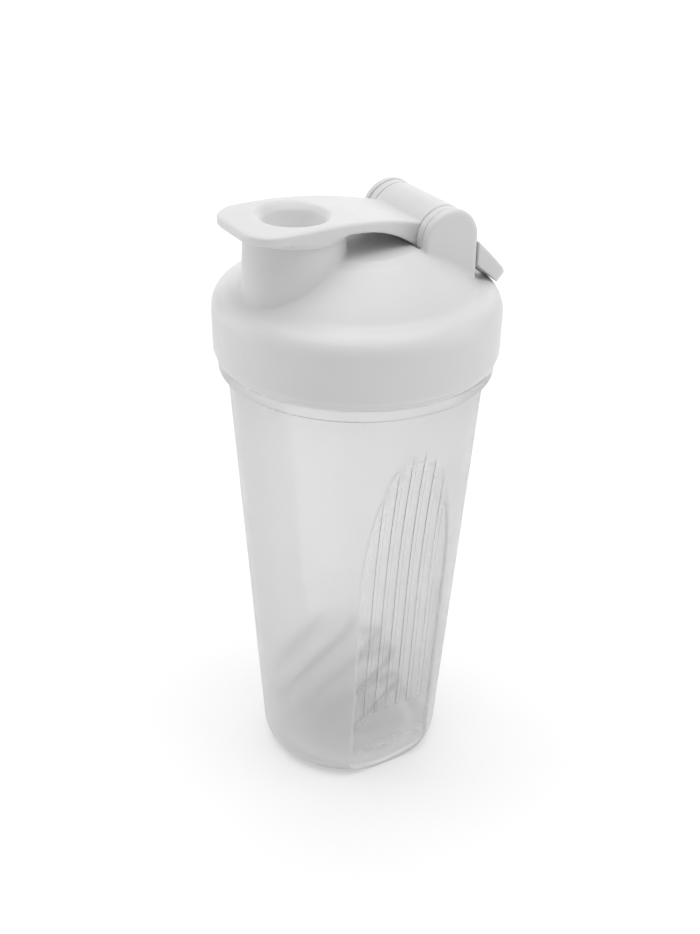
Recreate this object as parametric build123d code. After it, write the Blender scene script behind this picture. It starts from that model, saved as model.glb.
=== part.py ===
from build123d import *
import math
import os

# Protein shaker bottle, millimetres. +Z is up and the origin is the centre of the foot on the standing plane.
# The drinking spout faces -Y, the hinge is on the +Y side, and the ribbed grip panels face +X and -X.

# Cup
BASE_R = 33.05
TAPER = 0.0724
WALL = 1.9
CORNER_R = 8.5
FOOT_INNER_R = 21.0
FOOT_RECESS = 1.2
FLOOR_Z = 3.2
NECK_Z = 164.0
RIM_Z = 183.3
NECK_WALL = 2.4
NECK_STEP_Z = 160.3
RING_R = 47.6
RING_LOW_Z = 159.9
RING_TOP_Z = 164.4

# Grip panels on the cup: a nearly flat scoop that runs out at an arched top
PANEL_FOOT_X = 28.3
PANEL_KNEE = (35.0, 85.0)
PANEL_TOP_Z = 144.5
RIB_COUNT = 6
RIB_SPACING = 4.7
RIB_WIDTH = 1.6
RIB_PROUD = 0.4
RIB_FOOT_Z = 30.0

# Screw thread, two starts
THREAD_LEAD = 8.0
THREAD_STARTS = 2
THREAD_TURNS = 0.45
THREAD_FIRST_DEG = 9.0
THREAD_Z = 169.5
RIDGE_BASE = 2.2
RIDGE_CREST = 1.1
NECK_RIDGE_DEPTH = 1.2
LID_RIDGE_DEPTH = 1.3

# Lid
SKIRT_R = 49.5
SKIRT_Z = 164.5
SKIRT_BORE_R = 46.95
LIP_R = 48.5
LIP_TOP_Z = 166.1
SHOULDER_TOP_Z = 189.5
SHOULDER_R = 8.0
SHOULDER_SWEEP_DEG = 82.0
DOME_FOOT = (38.7, 192.0)
DOME_TOP = (25.0, 202.9)
PLATEAU_R = 21.0
PLATEAU_Z = 204.3
DOME_SAG_R = 90.0
DOME_WALL = 2.1
SEAT_Z = 185.2
COLLAR_R = 42.1
COLLAR_BORE_R = 40.6
COLLAR_Z = 180.6

# Gasket between the lid's seat and the cup's rim
GASKET_INNER_R = 42.2
GASKET_OUTER_R = 46.2
GASKET_GAP = 0.05

# Drinking spout
SPOUT_Y = -24.2
SPOUT_FOOT_R = 17.8
SPOUT_FOOT_Z = 188.0
SPOUT_TOP_R = 16.7
SPOUT_BORE_R = 14.0
SPOUT_TOP_Z = 212.0

# Hinge, with its axis along X
HINGE_Y = 23.8
HINGE_Z = 206.0
EAR_R = 10.6
EAR_INNER_X = 17.6
EAR_OUTER_X = 20.6
EAR_EDGE_R = 1.5
BARREL_R = 10.4
BARREL_HALF = 13.9
EYE_R = 10.3
EYE_INNER_X = 14.2
EYE_OUTER_X = 17.3
SADDLE_R = 10.9
SADDLE_WALL = 2.0
PIN_R = 2.5
PIN_CLEARANCE = 0.06
PIN_BLIND_X = 19.2

# Flip cap
CAP_UNDER_Z = 212.1
CAP_TIP_Y = -47.0
CAP_TIP_Z = 216.9
CAP_THICKNESS = 3.3
CAP_CORNER_R = 10.5
CAP_EDGE_R = 0.5
CAP_WAIST_Y = 13.0
ARM_HALF = 13.8
ARM_TOP = (15.0, 211.9)
ARM_FOOT = (12.9, 204.8)
ARM_DISH_R = 43.0
ARM_DISH_Y = -6.0
ARM_DISH_Z = 216.2
ARM_DISH_DEG = 4.5
PLUG_R = 13.2
PLUG_FLOOR_Z = 205.8
DIMPLE_R = 10.3
DIMPLE_LIP_R = 12.2
DIMPLE_LIP_Z = 216.7
DIMPLE_FLOOR_Z = 208.0
DIMPLE_FLOOR_R = 6.3
DIMPLE_RIM_Z = 215.0
CAP_SKIRT_OUTER_R = 17.7
CAP_SKIRT_INNER_R = 17.0
CAP_SKIRT_Z = 210.9
CAP_BOSS_R = 22.0
CAP_BOSS_Z = 214.2
SEAL_Z = 208.6
SEAL_R = 0.95
SEAL_RING_R = 12.8

# Carry loop, lying back and down from the hinge
LOOP_DROP_DEG = 45.0
LOOP_CLEARANCE = 0.6
LOOP_LENGTH = 29.6
LOOP_OUTER_X = 20.4
LOOP_BAR = 5.5
LOOP_CORNER_R = 6.0

# Whisk ball: a wire coil whose turns swell to a ball
WHISK_CENTRE = (1.2, -7.3, 28.6)
WHISK_R = 23.8
WIRE_R = 1.1
WHISK_PITCH = 9.4
WHISK_HALF_TURNS = 9
WHISK_TILT_DEG = 48.0
WHISK_TURN_DEG = 209.0


def rounded(outline, corners):
    """The flat outline with some of its corners rounded. Each corner is (x, y, radius)."""
    for x, y, radius in corners:
        corner = outline.vertices().sort_by_distance((x, y, 0))[0]
        outline = fillet(corner, radius)
    return outline


def turned(points, corners=()):
    """A solid turned about Z from (radius, height) points."""
    outline = rounded(make_face(Polyline(*points, close=True)), corners)
    return revolve(Plane.XZ * outline, Axis.Z)


def tube(outer_r, inner_r, low, high):
    """A plain ring about Z."""
    return turned([(inner_r, low), (outer_r, low), (outer_r, high), (inner_r, high)])


def rod_x(radius, x_low, x_high):
    """A cylinder on the hinge axis."""
    rod = Plane.YZ * Pos(HINGE_Y, HINGE_Z) * Circle(radius)
    return Pos(x_low, 0, 0) * extrude(rod, x_high - x_low)


def cup_radius(height):
    """Outer radius of the cup's cone."""
    return BASE_R + TAPER * height


def thread_ridges(root_r, depth, low):
    """Helical ridges that stand out from root_r by depth, or inward where depth is negative."""
    sunk = -math.copysign(0.6, depth)
    path = Helix(pitch=THREAD_LEAD, height=THREAD_LEAD * THREAD_TURNS, radius=root_r)
    section = Plane(origin=path @ 0, x_dir=(1, 0, 0), z_dir=path % 0) * make_face(
        Polyline(
            (sunk, -RIDGE_BASE / 2),
            (0, -RIDGE_BASE / 2),
            (depth, -RIDGE_CREST / 2),
            (depth, RIDGE_CREST / 2),
            (0, RIDGE_BASE / 2),
            (sunk, RIDGE_BASE / 2),
            close=True,
        )
    )
    ridge = sweep(section, path=path, is_frenet=True)
    return [
        Pos(0, 0, low) * Rot(0, 0, THREAD_FIRST_DEG + 360 * start / THREAD_STARTS) * ridge
        for start in range(THREAD_STARTS)
    ]


def panel_scoop(inset):
    """What a grip panel takes off the +X side of the cup, with its face moved inward by inset."""
    foot = (PANEL_FOOT_X - inset, 0)
    knee = (PANEL_KNEE[0] - inset, PANEL_KNEE[1])
    top = (cup_radius(PANEL_TOP_Z) - inset, PANEL_TOP_Z)
    slope = (knee[0] - foot[0], knee[1] - foot[1])
    below = (foot[0] - slope[0] * 0.1, foot[1] - slope[1] * 0.1)
    outside = 2 * BASE_R
    outline = make_face(
        Line(below, knee)
        + TangentArc(knee, top, tangent=slope)
        + Polyline(top, (outside, PANEL_TOP_Z), (outside, below[1]), below)
    )
    return extrude(Plane.XZ * outline, BASE_R, both=True)


def panel_ribs(body):
    """Upright ribs that stand on a grip panel and die out at its arched edge."""
    strip = panel_scoop(0.5) - panel_scoop(-RIB_PROUD)
    first = -(RIB_COUNT - 1) / 2 * RIB_SPACING
    high = PANEL_TOP_Z - RIB_FOOT_Z
    ribs = []
    for i in range(RIB_COUNT):
        slab = Pos(BASE_R, first + i * RIB_SPACING, RIB_FOOT_Z + high / 2) * Box(
            2 * BASE_R, RIB_WIDTH, high
        )
        ribs.append(strip & slab & body)
    return ribs


def make_cup():
    body = turned(
        [
            (0, FOOT_RECESS),
            (FOOT_INNER_R, FOOT_RECESS),
            (FOOT_INNER_R + 1, 0),
            (cup_radius(0), 0),
            (cup_radius(RING_LOW_Z), RING_LOW_Z),
            (RING_R, RING_LOW_Z),
            (RING_R, RING_TOP_Z),
            (cup_radius(NECK_Z), RING_TOP_Z),
            (cup_radius(NECK_Z), RIM_Z),
            (0, RIM_Z),
        ],
        [
            (cup_radius(0), 0, CORNER_R),
            (RING_R, RING_LOW_Z, 0.7),
            (RING_R, RING_TOP_Z, 0.7),
            (cup_radius(RING_LOW_Z), RING_LOW_Z, 0.8),
        ],
    )
    neck_bore_r = cup_radius(NECK_Z) - NECK_WALL
    hollow = turned(
        [
            (0, FLOOR_Z),
            (cup_radius(FLOOR_Z) - WALL, FLOOR_Z),
            (cup_radius(NECK_STEP_Z) - WALL, NECK_STEP_Z),
            (neck_bore_r, NECK_STEP_Z + 0.8),
            (neck_bore_r, RIM_Z + 1),
            (0, RIM_Z + 1),
        ],
        [(cup_radius(FLOOR_Z) - WALL, FLOOR_Z, CORNER_R - WALL)],
    )
    outer_scoop = panel_scoop(0)
    inner_scoop = panel_scoop(WALL)
    ribs = panel_ribs(body)
    shell = body - outer_scoop - mirror(outer_scoop, Plane.YZ)
    hollow = hollow - inner_scoop - mirror(inner_scoop, Plane.YZ)
    cup = shell - hollow
    cup += ribs
    cup += [mirror(rib, Plane.YZ) for rib in ribs]
    for ridge in thread_ridges(cup_radius(NECK_Z), NECK_RIDGE_DEPTH, THREAD_Z):
        cup += ridge
    return cup


def dome(shrink):
    """The space under the lid's dome, from its foot to the plateau, offset inward by shrink."""
    foot = (DOME_FOOT[0] - shrink * 0.5, DOME_FOOT[1] - shrink)
    top = (DOME_TOP[0] - shrink * 0.5, DOME_TOP[1] - shrink)
    flat = (PLATEAU_R - shrink * 0.5, PLATEAU_Z - shrink)
    outline = make_face(
        Polyline((0, COLLAR_Z), (COLLAR_BORE_R, COLLAR_Z), (COLLAR_BORE_R, SEAT_Z), foot)
        + RadiusArc(foot, top, -DOME_SAG_R)
        + Polyline(top, flat, (0, flat[1]), (0, COLLAR_Z))
    )
    return revolve(Plane.XZ * outline, Axis.Z)


def lid_shell():
    """The lid's outside, solid down to the seat: skirt, rounded shoulder, and a hollow sweep up to the dome."""
    centre = (SKIRT_R - SHOULDER_R, SHOULDER_TOP_Z - SHOULDER_R)
    shoulder = CenterArc(centre, SHOULDER_R, 0, SHOULDER_SWEEP_DEG)
    slope = RadiusArc(DOME_FOOT, DOME_TOP, -DOME_SAG_R)
    sweep_up = Spline(shoulder @ 1, slope @ 0, tangents=(shoulder % 1, slope % 0))
    inside = Polyline(
        DOME_TOP,
        (PLATEAU_R, PLATEAU_Z),
        (0, PLATEAU_Z),
        (0, COLLAR_Z),
        (COLLAR_R, COLLAR_Z),
        (COLLAR_R, SEAT_Z),
        (SKIRT_BORE_R, SEAT_Z),
        (SKIRT_BORE_R, SKIRT_Z),
        (LIP_R, SKIRT_Z),
        (LIP_R, LIP_TOP_Z),
        (SKIRT_R - 0.2, LIP_TOP_Z + 1.1),
        shoulder @ 0,
    )
    outline = make_face(shoulder + sweep_up + slope + inside)
    return revolve(Plane.XZ * rounded(outline, [(LIP_R, SKIRT_Z, 0.5)]), Axis.Z)


def ear():
    """One hinge ear: round over the axis, straight down into the dome."""
    outline = Pos(HINGE_Y, HINGE_Z) * Circle(EAR_R)
    depth = HINGE_Z - SEAT_Z
    outline += Pos(HINGE_Y, HINGE_Z - depth / 2) * Rectangle(2 * EAR_R, depth)
    plate = extrude(Plane.YZ * outline, EAR_OUTER_X - EAR_INNER_X)
    plate = fillet(plate.faces().sort_by(Axis.X)[-1].edges(), EAR_EDGE_R)
    return Pos(EAR_INNER_X, 0, 0) * plate


def spout_cone(foot_r, top_r, low, high):
    """A round tapered column on the spout's axis."""
    column = turned([(0, low), (foot_r, low), (top_r, high), (0, high)])
    return Pos(0, SPOUT_Y, 0) * column


def make_lid():
    shell = lid_shell()
    near_ear = ear()
    shell += [near_ear, mirror(near_ear, Plane.YZ)]
    shell += spout_cone(SPOUT_FOOT_R, SPOUT_TOP_R, SPOUT_FOOT_Z, SPOUT_TOP_Z)

    hollow = dome(DOME_WALL) & turned(
        [(0, COLLAR_Z), (COLLAR_BORE_R, COLLAR_Z), (COLLAR_BORE_R, 220), (0, 220)]
    )
    hollow -= rod_x(SADDLE_R + SADDLE_WALL, -EAR_OUTER_X, EAR_OUTER_X)
    shell -= hollow
    shell -= spout_cone(SPOUT_BORE_R, SPOUT_BORE_R, COLLAR_Z, SPOUT_TOP_Z + 1)
    shell -= rod_x(SADDLE_R, -EAR_INNER_X, EAR_INNER_X)
    shell -= rod_x(PIN_R, -EAR_OUTER_X - 1, PIN_BLIND_X)
    ridge_z = THREAD_Z - THREAD_LEAD / THREAD_STARTS / 2
    for ridge in thread_ridges(SKIRT_BORE_R, -LID_RIDGE_DEPTH, ridge_z):
        shell += ridge
    return shell


def cap_plan():
    """The cap seen from above: a rounded tab, widest before the spout, waisted towards the hinge."""
    corner = (17.2, CAP_TIP_Y)
    waist = (ARM_HALF, CAP_WAIST_Y)
    side = Spline(
        (17.9, -36.0), (17.8, -27.0), (16.8, -15.0), (15.3, -3.0), waist, tangents=((0, 1), (0, 1))
    )
    front = Polyline((0, CAP_TIP_Y), corner, (17.9, -36.0))
    back = Polyline(waist, (ARM_HALF, HINGE_Y), (0, HINGE_Y), (0, CAP_TIP_Y))
    half = rounded(make_face(front + side + back), [(*corner, CAP_CORNER_R)])
    return half + mirror(half, Plane.YZ)


def cap_side():
    """The cap seen from the side: thin at the tab, deepest where the arm meets the barrel."""
    tip = (CAP_TIP_Y, CAP_TIP_Z)
    tip_low = (CAP_TIP_Y, CAP_TIP_Z - CAP_THICKNESS)
    top = Spline(tip, (-34.0, 217.1), (-14.0, 216.7), (3.0, 214.6), ARM_TOP)
    root = Polyline(ARM_TOP, (HINGE_Y, ARM_TOP[1]), (HINGE_Y, ARM_FOOT[1]), ARM_FOOT)
    under = Spline(
        tip_low, (-34.0, 213.8), (-14.0, 213.1), (-2.0, 211.5), (6.6, 208.4), ARM_FOOT
    )
    return make_face(top + root + under + Line(tip_low, tip))


def cap_top_edges(plate):
    """The edges round the plate's top face, from the tab to the waist."""
    top = plate.faces().sort_by(Axis.Z)[-1]
    return [edge for edge in top.edges() if edge.center().Y < CAP_WAIST_Y]


def make_flip_cap():
    plate = extrude(Plane.YZ * cap_side(), 2 * ARM_HALF, both=True)
    column = Pos(0, 0, HINGE_Z - 10) * extrude(cap_plan(), 30)
    plate &= column
    plate = fillet(cap_top_edges(plate), CAP_EDGE_R)
    dish = Rot(ARM_DISH_DEG, 0, 0) * Rot(90, 0, 0) * Cylinder(ARM_DISH_R, 100)
    plate -= Pos(0, ARM_DISH_Y, ARM_DISH_Z + ARM_DISH_R) * (dish & Pos(0, 51, 0) * Box(100, 100, 200))
    cap = plate + rod_x(BARREL_R, -BARREL_HALF, BARREL_HALF)
    boss = turned(
        [
            (0, CAP_UNDER_Z),
            (CAP_SKIRT_OUTER_R, CAP_UNDER_Z),
            (CAP_BOSS_R, CAP_BOSS_Z),
            (0, CAP_BOSS_Z),
        ]
    )
    cap += Pos(0, SPOUT_Y, 0) * boss & column
    cap += Pos(0, SPOUT_Y, 0) * turned(
        [(0, PLUG_FLOOR_Z), (PLUG_R, PLUG_FLOOR_Z), (PLUG_R, CAP_UNDER_Z + 1), (0, CAP_UNDER_Z + 1)],
        [(PLUG_R, PLUG_FLOOR_Z, 1.0)],
    )
    cap += Pos(0, SPOUT_Y, 0) * tube(
        CAP_SKIRT_OUTER_R, CAP_SKIRT_INNER_R, CAP_SKIRT_Z, CAP_UNDER_Z + 1
    )
    cap -= Pos(0, SPOUT_Y, 0) * turned(
        [
            (0, DIMPLE_FLOOR_Z),
            (DIMPLE_FLOOR_R, DIMPLE_FLOOR_Z),
            (DIMPLE_R, DIMPLE_RIM_Z),
            (DIMPLE_LIP_R, DIMPLE_LIP_Z),
            (DIMPLE_LIP_R + 3.5, CAP_TIP_Z + 1),
            (0, CAP_TIP_Z + 1),
        ],
        [
            (DIMPLE_FLOOR_R, DIMPLE_FLOOR_Z, 3.0),
            (DIMPLE_R, DIMPLE_RIM_Z, 2.5),
            (DIMPLE_LIP_R, DIMPLE_LIP_Z, 2.5),
        ],
    )
    cap -= spout_seal(SEAL_R + 0.02)
    cap -= rod_x(PIN_R + PIN_CLEARANCE, -BARREL_HALF - 1, BARREL_HALF + 1)
    return cap


def spout_seal(section_r):
    """A round-section ring on the plug."""
    return Pos(0, SPOUT_Y, SEAL_Z) * Torus(SEAL_RING_R, section_r)


def make_carry_loop():
    drop = math.radians(LOOP_DROP_DEG)
    frame = Plane(
        origin=(0, HINGE_Y, HINGE_Z),
        x_dir=(0, math.cos(drop), -math.sin(drop)),
        z_dir=(1, 0, 0),
    )
    tip_low = (LOOP_LENGTH, 1.6)
    tip_high = (LOOP_LENGTH - 0.8, 5.6)
    outline = Polyline(tip_high, tip_low, (LOOP_LENGTH - LOOP_BAR - 2, 0.9), (14.0, 0.3), (0, 0.3), (0, 6.0))
    outline += Spline((0, 6.0), (9.0, 6.3), (18.0, 6.4), tip_high)
    side = rounded(make_face(outline), [(*tip_low, 1.0), (*tip_high, 1.2)])
    slab = extrude(frame * side, LOOP_OUTER_X, both=True)
    tilt = Pos(0, HINGE_Y, HINGE_Z) * Rot(-LOOP_DROP_DEG, 0, 0)
    ring = fillet(Rectangle(2 * LOOP_OUTER_X, 2 * LOOP_LENGTH).vertices(), LOOP_CORNER_R)
    window = fillet(Rectangle(2 * EYE_INNER_X, 2 * (LOOP_LENGTH - LOOP_BAR)).vertices(), 3.0)
    slab &= tilt * extrude(ring - window, 20, both=True)
    behind_ears = Pos(0, HINGE_Y + EAR_R + 0.4 + 25, HINGE_Z) * Box(2 * LOOP_OUTER_X, 50, 80)
    between_ears = Pos(0, HINGE_Y, HINGE_Z) * Box(2 * EYE_OUTER_X, 80, 80)
    loop = slab & (behind_ears + between_ears)
    rest = turned(
        [
            (0, SKIRT_Z),
            (SKIRT_R + LOOP_CLEARANCE, SKIRT_Z),
            (SKIRT_R + LOOP_CLEARANCE, SHOULDER_TOP_Z + LOOP_CLEARANCE),
            (0, SHOULDER_TOP_Z + LOOP_CLEARANCE),
        ],
        [(SKIRT_R + LOOP_CLEARANCE, SHOULDER_TOP_Z + LOOP_CLEARANCE, SHOULDER_R + LOOP_CLEARANCE)],
    )
    loop -= rest
    loop += rod_x(EYE_R, EYE_INNER_X, EYE_OUTER_X)
    loop += rod_x(EYE_R, -EYE_OUTER_X, -EYE_INNER_X)
    loop -= rod_x(PIN_R + PIN_CLEARANCE, -EYE_OUTER_X - 1, EYE_OUTER_X + 1)
    return loop


def make_hinge_pin():
    pin = rod_x(PIN_R, -EAR_OUTER_X, PIN_BLIND_X)
    return chamfer(pin.edges(), 0.4)


def make_lid_gasket():
    return tube(GASKET_OUTER_R, GASKET_INNER_R, RIM_Z + GASKET_GAP, SEAT_Z - GASKET_GAP)


def whisk_point(half_turn):
    """Where the wire crosses the coil's own XZ plane after so many half turns."""
    height = (half_turn - WHISK_HALF_TURNS / 2) * WHISK_PITCH / 2
    reach = math.sqrt(WHISK_R**2 - height**2)
    side = 1 if half_turn % 2 == 0 else -1
    return Vector(side * reach, 0, height)


def make_whisk_ball():
    """A ball of wire: half turns in tilted planes that all cross the coil's XZ plane square on."""
    wire = None
    for i in range(WHISK_HALF_TURNS):
        start = whisk_point(i)
        end = whisk_point(i + 1)
        middle = (start + end) / 2
        radius = (end - start).length / 2
        bulge = Vector(0, radius if i % 2 == 0 else -radius, 0)
        arc = ThreePointArc(start, middle + bulge, end)
        section = Plane(origin=start, z_dir=arc % 0) * Circle(WIRE_R)
        half = sweep(section, path=arc)
        wire = half if wire is None else wire + half
    for i in (0, WHISK_HALF_TURNS):
        wire += Pos(*whisk_point(i)) * Sphere(WIRE_R)
    placed = Rot(0, 0, WHISK_TURN_DEG) * Rot(0, WHISK_TILT_DEG, 0) * wire
    return Pos(*WHISK_CENTRE) * placed


def main():
    os.makedirs("parts", exist_ok=True)
    nodes = {
        "cup": make_cup(),
        "lid": make_lid(),
        "flip_cap": make_flip_cap(),
        "spout_seal": spout_seal(SEAL_R),
        "carry_loop": make_carry_loop(),
        "hinge_pin": make_hinge_pin(),
        "lid_gasket": make_lid_gasket(),
        "whisk_ball": make_whisk_ball(),
    }
    for name, shape in nodes.items():
        export_step(shape, f"parts/{name}.step")


main()
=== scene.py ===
import math

import bpy
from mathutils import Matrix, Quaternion, Vector


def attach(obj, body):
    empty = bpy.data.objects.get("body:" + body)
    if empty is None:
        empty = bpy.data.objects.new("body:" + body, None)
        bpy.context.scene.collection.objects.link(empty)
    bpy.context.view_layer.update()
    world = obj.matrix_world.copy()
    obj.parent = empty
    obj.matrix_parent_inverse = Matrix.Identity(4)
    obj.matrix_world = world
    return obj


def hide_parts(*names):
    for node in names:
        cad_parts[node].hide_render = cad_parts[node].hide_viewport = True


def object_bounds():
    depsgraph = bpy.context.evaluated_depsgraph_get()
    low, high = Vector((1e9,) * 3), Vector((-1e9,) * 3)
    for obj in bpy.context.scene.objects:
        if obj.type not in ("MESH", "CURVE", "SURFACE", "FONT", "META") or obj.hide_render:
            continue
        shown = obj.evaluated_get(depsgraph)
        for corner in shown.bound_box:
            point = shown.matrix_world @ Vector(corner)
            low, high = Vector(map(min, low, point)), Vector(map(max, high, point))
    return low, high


MM = 0.001

# Camera, in metres and degrees
CAMERA_AT = (0.3779, -0.2313, 0.3646)
CAMERA_TARGET = (-0.0007, -0.00115, 0.11761)
CAMERA_ROLL_DEG = 1.05
CAMERA_LENS = 53.96
SENSOR_WIDTH = 36.0

# Moulded edges: voxel size in metres, and passes of smoothing that round the corners
LID_VOXEL = 0.45 * MM
CAP_VOXEL = 0.35 * MM
LOOP_VOXEL = 0.35 * MM
LID_PASSES = 6
CAP_PASSES = 18
LOOP_PASSES = 8

# Cup geometry that the frosted finish follows: outer radius at the foot, and how it grows with height
CUP_FOOT_R = 33.05 * MM
CUP_TAPER = 0.0724
PANEL_DEPTH = 0.45 * MM
PANEL_EDGE = 0.25 * MM
PANEL_LEAST_X = 20 * MM
PANEL_SURE_X = 21 * MM
POLISH_LOW_Z = 8 * MM
POLISH_FULL_Z = 24 * MM

# How much light passes straight through: the thick foot, the frosted wall, the polished panels
MILKY_FOOT = 0.64
MILKY_WALL = 0.74
CLEAR_PANEL = 0.84
FOOT_TOP_Z = 4 * MM
WALL_LOW_Z = 30 * MM

# The part of the noise's range that materials use
NOISE_LOW = 0.3
NOISE_HIGH = 0.7

FLOOR_SIZE = 8.0

# Light: powers in watts, the sky's in watts per square metre, and places and sizes in metres
SKY_POWER = 2.2
SKY_SPREAD_DEG = 70
BACKDROP_POWER = 6.0
BACKDROP_AT = (-1.45, 0.89, 0.6)
BACKDROP_SIZE = (2.6, 0.55)
LEFT_POWER = 3.2
LEFT_AT = (-0.9, -0.9, 0.45)
RIGHT_POWER = 3.0
RIGHT_AT = (0.85, 0.95, 0.45)
SIDE_LIGHT_SIZE = (0.9, 0.9)
SURROUND = 0.42
FLOOR_GLOW = 0.3


def link(tree, source, target):
    tree.links.new(source, target)


def node(tree, kind, **values):
    """A shader node with its inputs set by name, and its properties where a name isn't an input."""
    made = tree.nodes.new(kind)
    for name, value in values.items():
        if name in made.inputs:
            made.inputs[name].default_value = value
        else:
            setattr(made, name, value)
    return made


def new_material(name):
    """A node material with a Principled shader, and the object's own coordinates."""
    material = bpy.data.materials.new(name)
    material.use_nodes = True
    tree = material.node_tree
    shader = tree.nodes["Principled BSDF"]
    place = node(tree, "ShaderNodeTexCoord")
    return material, tree, shader, place


def noise(tree, place, scale, detail=3.0, stretch=None):
    """Noise over the object, with scale in features per metre."""
    made = node(tree, "ShaderNodeTexNoise", Scale=scale, Detail=detail, Roughness=0.55)
    if stretch is None:
        link(tree, place.outputs["Object"], made.inputs["Vector"])
    else:
        mapping = node(tree, "ShaderNodeMapping", Scale=stretch)
        link(tree, place.outputs["Object"], mapping.inputs["Vector"])
        link(tree, mapping.outputs["Vector"], made.inputs["Vector"])
    return made


def spread(tree, source, low, high, begin=NOISE_LOW, end=NOISE_HIGH):
    """Takes a value from begin..end to low..high."""
    made = node(tree, "ShaderNodeMapRange")
    for name, value in (("From Min", begin), ("From Max", end), ("To Min", low), ("To Max", high)):
        made.inputs[name].default_value = value
    link(tree, source, made.inputs["Value"])
    return made.outputs["Result"]


def tint(tree, source, dark, light):
    """A colour between dark and light."""
    ramp = node(tree, "ShaderNodeValToRGB")
    ramp.color_ramp.elements[0].position = NOISE_LOW
    ramp.color_ramp.elements[0].color = (*dark, 1)
    ramp.color_ramp.elements[1].position = NOISE_HIGH
    ramp.color_ramp.elements[1].color = (*light, 1)
    link(tree, source, ramp.inputs["Fac"])
    return ramp.outputs["Color"]


def bump(tree, source, shader, strength, distance, before=None):
    """Surface relief from a height, added to what is already there."""
    made = node(tree, "ShaderNodeBump", Strength=strength, Distance=distance)
    link(tree, source, made.inputs["Height"])
    if before is not None:
        link(tree, before, made.inputs["Normal"])
    link(tree, made.outputs["Normal"], shader.inputs["Normal"])
    return made.outputs["Normal"]


def white_plastic():
    """Satin moulded polypropylene: fine spark texture, faint flow clouding, a little light through it."""
    material, tree, shader, place = new_material("white_satin_plastic")
    cloud = noise(tree, place, 38.0)
    spark = noise(tree, place, 2600.0, 2.0)
    ripple = noise(tree, place, 160.0, 2.0)
    link(
        tree,
        tint(tree, cloud.outputs["Fac"], (0.63, 0.63, 0.63), (0.65, 0.65, 0.65)),
        shader.inputs["Base Color"],
    )
    link(tree, spread(tree, ripple.outputs["Fac"], 0.34, 0.46), shader.inputs["Roughness"])
    waves = bump(tree, ripple.outputs["Fac"], shader, 0.10, 0.1 * MM)
    bump(tree, spark.outputs["Fac"], shader, 0.10, 0.02 * MM, waves)
    shader.inputs["Subsurface Weight"].default_value = 0.25
    shader.inputs["Subsurface Radius"].default_value = (1.0, 0.95, 0.9)
    shader.inputs["Subsurface Scale"].default_value = 2.0 * MM
    shader.inputs["IOR"].default_value = 1.49
    return material


def pin_plastic():
    """Smoother turned plastic for the hinge pin."""
    material, tree, shader, place = new_material("pin_smooth_plastic")
    rings = noise(tree, place, 900.0, 2.0, (0.2, 1.0, 1.0))
    link(
        tree,
        tint(tree, rings.outputs["Fac"], (0.76, 0.76, 0.77), (0.82, 0.82, 0.82)),
        shader.inputs["Base Color"],
    )
    link(tree, spread(tree, rings.outputs["Fac"], 0.28, 0.4), shader.inputs["Roughness"])
    bump(tree, rings.outputs["Fac"], shader, 0.15, 0.03 * MM)
    return material


def silicone():
    """Matt milky silicone."""
    material, tree, shader, place = new_material("milky_silicone")
    cloud = noise(tree, place, 260.0)
    link(
        tree,
        tint(tree, cloud.outputs["Fac"], (0.70, 0.71, 0.71), (0.78, 0.79, 0.79)),
        shader.inputs["Base Color"],
    )
    link(tree, spread(tree, cloud.outputs["Fac"], 0.5, 0.66), shader.inputs["Roughness"])
    bump(tree, cloud.outputs["Fac"], shader, 0.2, 0.05 * MM)
    shader.inputs["Subsurface Weight"].default_value = 0.4
    shader.inputs["Subsurface Scale"].default_value = 1.5 * MM
    shader.inputs["IOR"].default_value = 1.41
    return material


def steel_wire():
    """Bright drawn stainless wire, with fine draw marks and slight clouding."""
    material, tree, shader, place = new_material("drawn_steel_wire")
    marks = noise(tree, place, 1500.0, 4.0)
    cloud = noise(tree, place, 120.0)
    link(
        tree,
        tint(tree, cloud.outputs["Fac"], (0.50, 0.50, 0.51), (0.66, 0.66, 0.67)),
        shader.inputs["Base Color"],
    )
    link(tree, spread(tree, marks.outputs["Fac"], 0.18, 0.36), shader.inputs["Roughness"])
    bump(tree, marks.outputs["Fac"], shader, 0.25, 0.03 * MM)
    shader.inputs["Metallic"].default_value = 1.0
    return material


def product(tree, first, second):
    """Two values multiplied."""
    made = node(tree, "ShaderNodeMath", operation="MULTIPLY")
    link(tree, first, made.inputs[0])
    link(tree, second, made.inputs[1])
    return made.outputs["Value"]


def blend_values(tree, mask, where_zero, where_one):
    """One value where the mask is 0 and another where it is 1; each is a socket or a number."""
    mix = node(tree, "ShaderNodeMix", data_type="FLOAT")
    link(tree, mask, mix.inputs["Factor"])
    for name, value in (("A", where_zero), ("B", where_one)):
        if isinstance(value, float):
            mix.inputs[name].default_value = value
        else:
            link(tree, value, mix.inputs[name])
    return mix.outputs["Result"]


def height(tree, place):
    """Height above the standing plane."""
    split = node(tree, "ShaderNodeSeparateXYZ")
    link(tree, place.outputs["Object"], split.inputs["Vector"])
    return split.outputs["Z"]


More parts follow.
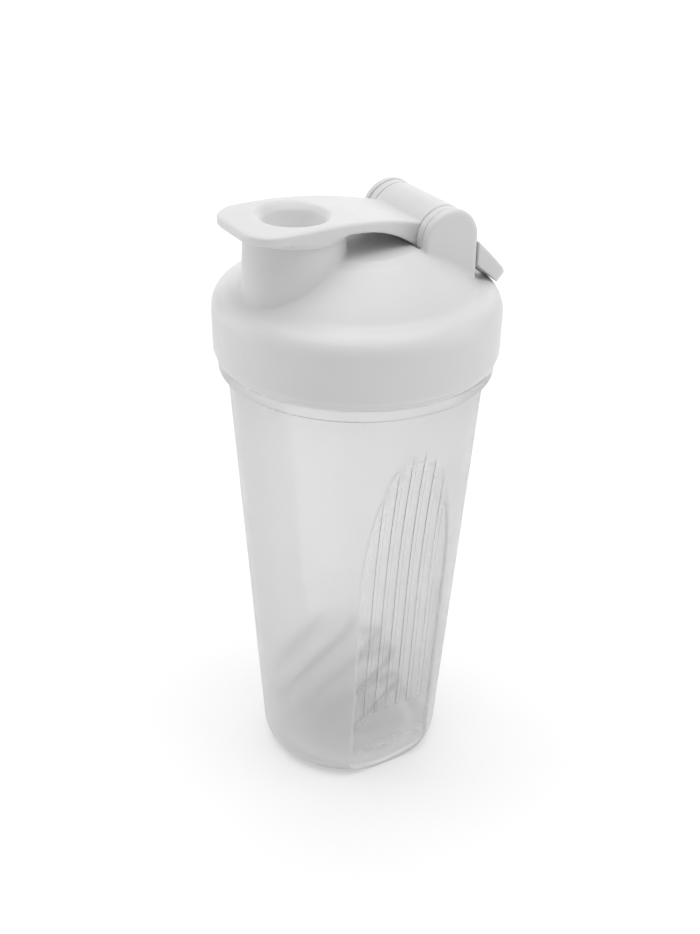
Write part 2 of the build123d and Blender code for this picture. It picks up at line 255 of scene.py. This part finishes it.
def panel_mask(tree, place):
    """1 on the polished grip panels, whose faces lie inside the cup's cone, and 0 on the frosted cone."""
    split = node(tree, "ShaderNodeSeparateXYZ")
    link(tree, place.outputs["Object"], split.inputs["Vector"])
    flat = node(tree, "ShaderNodeCombineXYZ")
    link(tree, split.outputs["X"], flat.inputs["X"])
    link(tree, split.outputs["Y"], flat.inputs["Y"])
    reach = node(tree, "ShaderNodeVectorMath", operation="LENGTH")
    link(tree, flat.outputs["Vector"], reach.inputs[0])
    cone = node(tree, "ShaderNodeMath", operation="MULTIPLY_ADD")
    cone.inputs[1].default_value = CUP_TAPER
    cone.inputs[2].default_value = CUP_FOOT_R
    link(tree, split.outputs["Z"], cone.inputs[0])
    gap = node(tree, "ShaderNodeMath", operation="SUBTRACT")
    link(tree, cone.outputs["Value"], gap.inputs[0])
    link(tree, reach.outputs["Value"], gap.inputs[1])
    side = node(tree, "ShaderNodeMath", operation="ABSOLUTE")
    link(tree, split.outputs["X"], side.inputs[0])
    inside = spread(tree, gap.outputs["Value"], 0.0, 1.0, PANEL_DEPTH, PANEL_DEPTH + PANEL_EDGE)
    facing = spread(tree, side.outputs["Value"], 0.0, 1.0, PANEL_LEAST_X, PANEL_SURE_X)
    above = spread(tree, split.outputs["Z"], 0.0, 1.0, POLISH_LOW_Z, POLISH_FULL_Z)
    return product(tree, product(tree, inside, facing), above)


def frosted_plastic():
    """Milky frosted cup: grained on the cone, polished and clearer on the two grip panels."""
    material, tree, shader, place = new_material("frosted_cup_plastic")
    cloud = noise(tree, place, 30.0)
    grain = noise(tree, place, 2200.0, 2.0)
    ripple = noise(tree, place, 90.0, 2.0)
    panel = panel_mask(tree, place)
    link(
        tree,
        tint(tree, cloud.outputs["Fac"], (0.965, 0.965, 0.965), (0.98, 0.98, 0.98)),
        shader.inputs["Base Color"],
    )
    frost = spread(tree, ripple.outputs["Fac"], 0.28, 0.34)
    clear = spread(tree, ripple.outputs["Fac"], 0.13, 0.18)
    link(tree, blend_values(tree, panel, frost, clear), shader.inputs["Roughness"])
    bump(tree, grain.outputs["Fac"], shader, 0.12, 0.03 * MM)
    milky = spread(tree, height(tree, place), MILKY_FOOT, MILKY_WALL, FOOT_TOP_Z, WALL_LOW_Z)
    clearness = blend_values(tree, panel, milky, CLEAR_PANEL)
    link(tree, clearness, shader.inputs["Transmission Weight"])
    shader.inputs["IOR"].default_value = 1.45
    return material


def dress(cad_object, material):
    """Gives a CAD node a material in its own slots."""
    if not cad_object.material_slots:
        cad_object.data.materials.append(material)
    for held in cad_object.material_slots:
        held.material = material


def moulded(name, cad_node, body, voxel, passes, material):
    """A copy of a CAD node with its sharp edges softened, which stands for the node."""
    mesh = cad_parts[cad_node].data.copy()
    mesh.name = name
    piece = bpy.data.objects.new(name, mesh)
    bpy.context.scene.collection.objects.link(piece)
    remesh = piece.modifiers.new("remesh", "REMESH")
    remesh.mode = "VOXEL"
    remesh.voxel_size = voxel
    remesh.use_smooth_shade = True
    smooth = piece.modifiers.new("smooth", "SMOOTH")
    smooth.factor = 0.5
    smooth.iterations = passes
    final = bpy.data.meshes.new_from_object(piece.evaluated_get(bpy.context.evaluated_depsgraph_get()))
    piece.modifiers.clear()
    piece.data = final
    final.materials.clear()
    final.materials.append(material)
    final.shade_smooth()
    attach(piece, body)
    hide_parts(cad_node)
    return piece


def add_floor():
    """Plain pale floor."""
    half = FLOOR_SIZE / 2
    mesh = bpy.data.meshes.new("floor")
    mesh.from_pydata(
        [(-half, -half, 0), (half, -half, 0), (half, half, 0), (-half, half, 0)], [], [(0, 1, 2, 3)]
    )
    floor = bpy.data.objects.new("floor", mesh)
    bpy.context.scene.collection.objects.link(floor)
    material, tree, shader, place = new_material("pale_floor")
    cloud = noise(tree, place, 3.0)
    link(
        tree,
        tint(tree, cloud.outputs["Fac"], (0.62, 0.62, 0.62), (0.63, 0.63, 0.63)),
        shader.inputs["Base Color"],
    )
    shader.inputs["Roughness"].default_value = 0.9
    shader.inputs["Specular IOR Level"].default_value = 0.0
    shader.inputs["Emission Color"].default_value = (1, 1, 1, 1)
    shader.inputs["Emission Strength"].default_value = FLOOR_GLOW
    mesh.materials.append(material)


def add_light(name, place, target, size, power):
    """A rectangular soft light aimed at a point."""
    data = bpy.data.lights.new(name, "AREA")
    data.shape = "RECTANGLE"
    data.size, data.size_y = size
    data.energy = power
    lamp = bpy.data.objects.new(name, data)
    lamp.location = place
    aim = Vector(target) - Vector(place)
    lamp.rotation_mode = "QUATERNION"
    lamp.rotation_quaternion = aim.to_track_quat("-Z", "Y")
    bpy.context.scene.collection.objects.link(lamp)


def add_lights(centre):
    """A pale studio: even light from above, a broad low light behind, and a soft one on each side."""
    sky = bpy.data.lights.new("sky_light", "SUN")
    sky.energy = SKY_POWER
    sky.angle = math.radians(SKY_SPREAD_DEG)
    lamp = bpy.data.objects.new("sky_light", sky)
    bpy.context.scene.collection.objects.link(lamp)
    add_light("backdrop_light", BACKDROP_AT, centre, BACKDROP_SIZE, BACKDROP_POWER)
    add_light("left_light", LEFT_AT, centre, SIDE_LIGHT_SIZE, LEFT_POWER)
    add_light("right_light", RIGHT_AT, centre, SIDE_LIGHT_SIZE, RIGHT_POWER)
    world = bpy.data.worlds.new("surround")
    world.use_nodes = True
    surround = world.node_tree.nodes["Background"]
    surround.inputs["Color"].default_value = (1, 1, 1, 1)
    surround.inputs["Strength"].default_value = SURROUND
    bpy.context.scene.world = world


def add_camera():
    data = bpy.data.cameras.new("camera")
    data.lens = CAMERA_LENS
    data.sensor_width = SENSOR_WIDTH
    camera = bpy.data.objects.new("camera", data)
    bpy.context.scene.collection.objects.link(camera)
    aim = Vector(CAMERA_TARGET) - Vector(CAMERA_AT)
    camera.location = CAMERA_AT
    camera.rotation_mode = "QUATERNION"
    roll = Quaternion((0, 0, 1), math.radians(CAMERA_ROLL_DEG))
    camera.rotation_quaternion = aim.to_track_quat("-Z", "Y") @ roll
    bpy.context.scene.camera = camera


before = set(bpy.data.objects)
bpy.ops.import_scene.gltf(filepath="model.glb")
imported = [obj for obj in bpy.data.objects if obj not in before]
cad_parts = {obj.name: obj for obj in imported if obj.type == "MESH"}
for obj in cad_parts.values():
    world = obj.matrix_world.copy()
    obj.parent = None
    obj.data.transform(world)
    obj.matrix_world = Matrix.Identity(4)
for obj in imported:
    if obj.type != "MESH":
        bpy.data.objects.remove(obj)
cad_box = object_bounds()

white = white_plastic()
rubber = silicone()
dress(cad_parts["cup"], frosted_plastic())
dress(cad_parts["whisk_ball"], steel_wire())
dress(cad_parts["hinge_pin"], pin_plastic())
dress(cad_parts["lid_gasket"], rubber)
dress(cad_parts["spout_seal"], rubber)
moulded("lid_shell", "lid", "lid", LID_VOXEL, LID_PASSES, white)
moulded("flip_cap_shell", "flip_cap", "cap", CAP_VOXEL, CAP_PASSES, white)
moulded("carry_loop_shell", "carry_loop", "loop", LOOP_VOXEL, LOOP_PASSES, white)

add_floor()
add_lights((cad_box[0] + cad_box[1]) / 2)
add_camera()
bpy.context.scene.view_settings.view_transform = "Standard"
